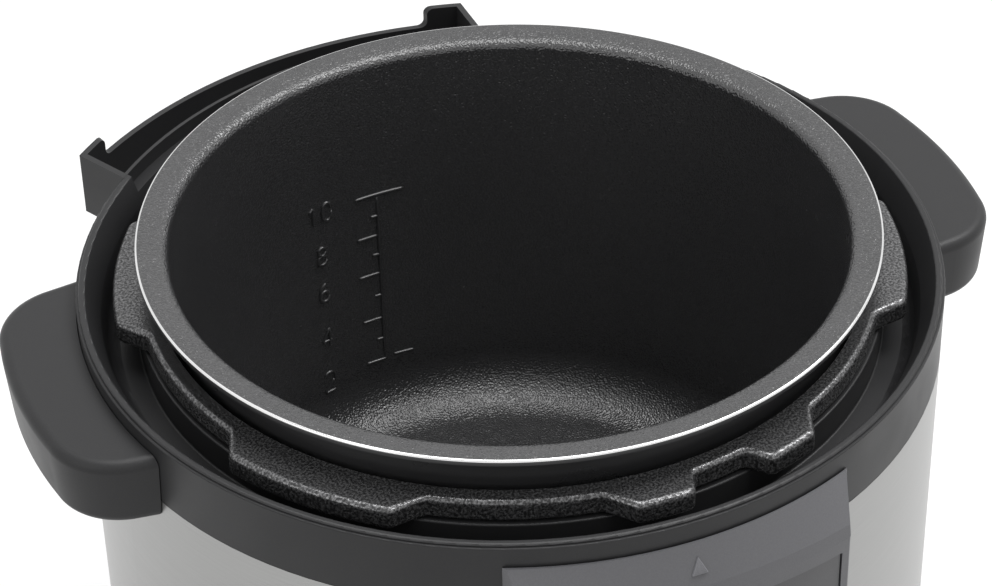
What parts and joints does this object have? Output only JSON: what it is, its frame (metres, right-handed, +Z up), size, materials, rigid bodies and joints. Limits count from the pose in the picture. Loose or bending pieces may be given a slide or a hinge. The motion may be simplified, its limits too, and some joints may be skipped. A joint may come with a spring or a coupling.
{
  "type": "electric pressure cooker",
  "caption": "Electric pressure cooker with its lid off: lift-out pot, lugged bayonet flange, collar with rear lid channel, side grips, steel shell, control panel with push keys.",
  "frame": {"origin": "on the pot's axis, in the plane of the feet's undersides", "axes": "+Z up along the pot's axis, +Y to the back (cord inlet), -Y to the front (control panel), +X to the right-hand grip seen from the front"},
  "size_m": [0.3296, 0.307, 0.2449],
  "materials": {
    "coated_aluminium": "matt dark coating on drawn aluminium",
    "hammered_aluminium": "cast aluminium with hammered paint",
    "collar_plastic": "satin dark grey plastic",
    "brushed_steel": "fine brushed stainless sheet",
    "base_plastic": "matt dark plastic",
    "rubber": "moulded rubber",
    "zinc_steel": "zinc plated sheet",
    "screw_steel": "zinc plated screw",
    "cast_aluminium": "cast plate, turned face",
    "ceramic": "glazed ceramic",
    "drawn_aluminium": "drawn cap",
    "spring_steel": "bright spring wire",
    "panel_plastic": "satin grey plastic",
    "overlay_plastic": "satin silver grey plastic",
    "display_glass": "clear smoked pane",
    "module_plastic": "dark display block",
    "circuit_board": "lacquered circuit board",
    "switch_plastic": "black moulded plastic",
    "key_plastic": "soft dark key plastic",
    "brass": "tinned brass blade"
  },
  "bodies": {
    "cooker": {"outer_pot": "hammered_aluminium", "upper_collar": "collar_plastic", "steel_shell": "brushed_steel", "base_pan": "base_plastic", "rubber_feet": "rubber", "support_legs": "zinc_steel", "leg_screws": "screw_steel", "handle_screws": "screw_steel", "heating_plate": "cast_aluminium", "heater_screws": "screw_steel", "heater_terminals": "ceramic", "sensor_spring": "spring_steel", "sensor_cup": "zinc_steel", "sensor_screws": "screw_steel", "pressure_switch": "switch_plastic", "switch_bracket": "zinc_steel", "thermal_fuse": "ceramic", "fuse_clip": "spring_steel", "panel_frame": "panel_plastic", "control_overlay": "overlay_plastic", "display_window": "display_glass", "display_module": "module_plastic", "control_board": "circuit_board", "tact_switches": "switch_plastic", "board_screws": "screw_steel", "power_board": "circuit_board", "power_board_parts": "switch_plastic", "power_inlet": "switch_plastic", "left_handle": "collar_plastic", "right_handle": "collar_plastic", "inlet_pins": "brass"},
    "pot": {"inner_pot": "coated_aluminium"},
    "sensor": {"sensor_cap": "drawn_aluminium"},
    "key_left_1": {"key_left_1": "key_plastic"},
    "key_right_1": {"key_right_1": "key_plastic"},
    "key_left_2": {"key_left_2": "key_plastic"},
    "key_right_2": {"key_right_2": "key_plastic"},
    "key_left_3": {"key_left_3": "key_plastic"},
    "key_right_3": {"key_right_3": "key_plastic"},
    "key_left_4": {"key_left_4": "key_plastic"},
    "key_right_4": {"key_right_4": "key_plastic"}
  },
  "joints": [
    {"name": "pot_lift", "type": "slide", "parent": "cooker", "child": "pot", "axis": [0, 0, 1], "range_m": [0, 0.17]},
    {"name": "sensor_press", "type": "slide", "parent": "cooker", "child": "sensor", "axis": [0, 0, 1], "range_m": [-0.003, 0], "stiffness_N_per_m": 500, "springref_m": 0.004, "deforming": ["sensor_spring"]},
    {"name": "key_left_1_press", "type": "slide", "parent": "cooker", "child": "key_left_1", "axis": [0, 1, 0], "range_m": [0, 0.0008], "stiffness_N_per_m": 1500},
    {"name": "key_right_1_press", "type": "slide", "parent": "cooker", "child": "key_right_1", "axis": [0, 1, 0], "range_m": [0, 0.0008], "stiffness_N_per_m": 1500},
    {"name": "key_left_2_press", "type": "slide", "parent": "cooker", "child": "key_left_2", "axis": [0, 1, 0], "range_m": [0, 0.0008], "stiffness_N_per_m": 1500},
    {"name": "key_right_2_press", "type": "slide", "parent": "cooker", "child": "key_right_2", "axis": [0, 1, 0], "range_m": [0, 0.0008], "stiffness_N_per_m": 1500},
    {"name": "key_left_3_press", "type": "slide", "parent": "cooker", "child": "key_left_3", "axis": [0, 1, 0], "range_m": [0, 0.0008], "stiffness_N_per_m": 1500},
    {"name": "key_right_3_press", "type": "slide", "parent": "cooker", "child": "key_right_3", "axis": [0, 1, 0], "range_m": [0, 0.0008], "stiffness_N_per_m": 1500},
    {"name": "key_left_4_press", "type": "slide", "parent": "cooker", "child": "key_left_4", "axis": [0, 1, 0], "range_m": [0, 0.0008], "stiffness_N_per_m": 1500},
    {"name": "key_right_4_press", "type": "slide", "parent": "cooker", "child": "key_right_4", "axis": [0, 1, 0], "range_m": [0, 0.0008], "stiffness_N_per_m": 1500}
  ]
}
